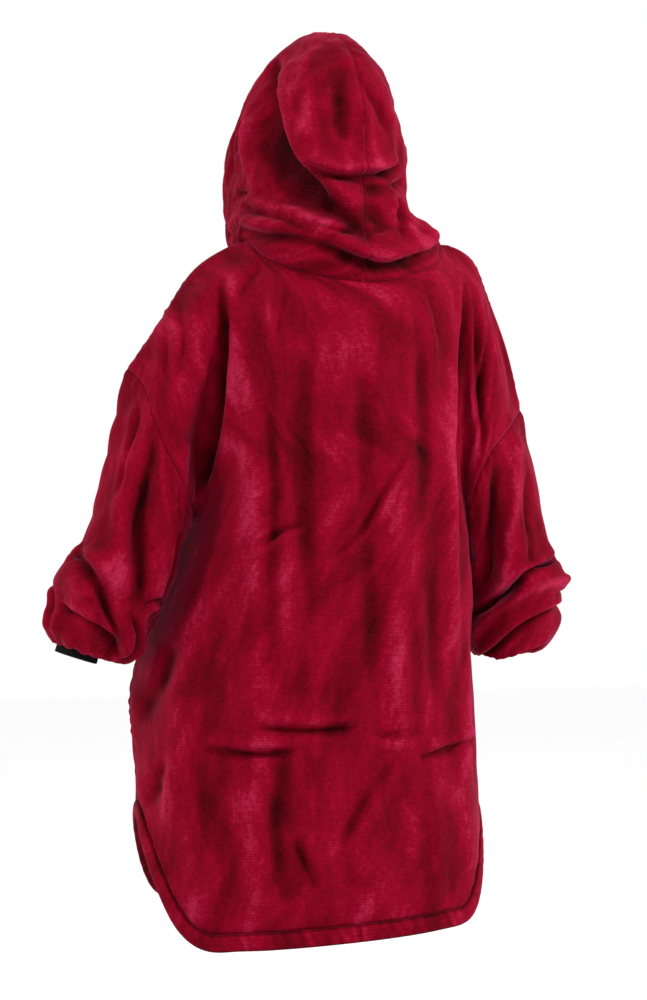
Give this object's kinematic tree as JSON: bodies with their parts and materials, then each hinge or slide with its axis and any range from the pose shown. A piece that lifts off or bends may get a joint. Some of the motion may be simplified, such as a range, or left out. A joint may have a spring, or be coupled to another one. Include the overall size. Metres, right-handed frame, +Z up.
{
  "type": "wearable blanket hoodie",
  "caption": "Very large hooded pullover of crimson plush fleece, as worn with the hood up, with dropped blouson sleeves, black rib cuffs and a padded shirt-tail hem",
  "frame": {"origin": "middle of the shoulders, inside the base of the neck, where the garment is carried", "axes": "+Z up, -Y the front of the garment, +X its own left"},
  "size_m": [0.7458, 0.3691, 1.2602],
  "materials": {
    "fleece": "crimson plush flannel fleece with a short brushed pile",
    "rib": "black elastic rib knit"
  },
  "bodies": {
    "root": {"back": "fleece", "front": "fleece", "sleeve_left": "fleece", "sleeve_right": "fleece", "hood_left": "fleece", "hood_right": "fleece", "hem_band_back": "fleece", "hem_band_front": "fleece", "cuff_left": "rib", "cuff_right": "rib"}
  },
  "joints": []
}
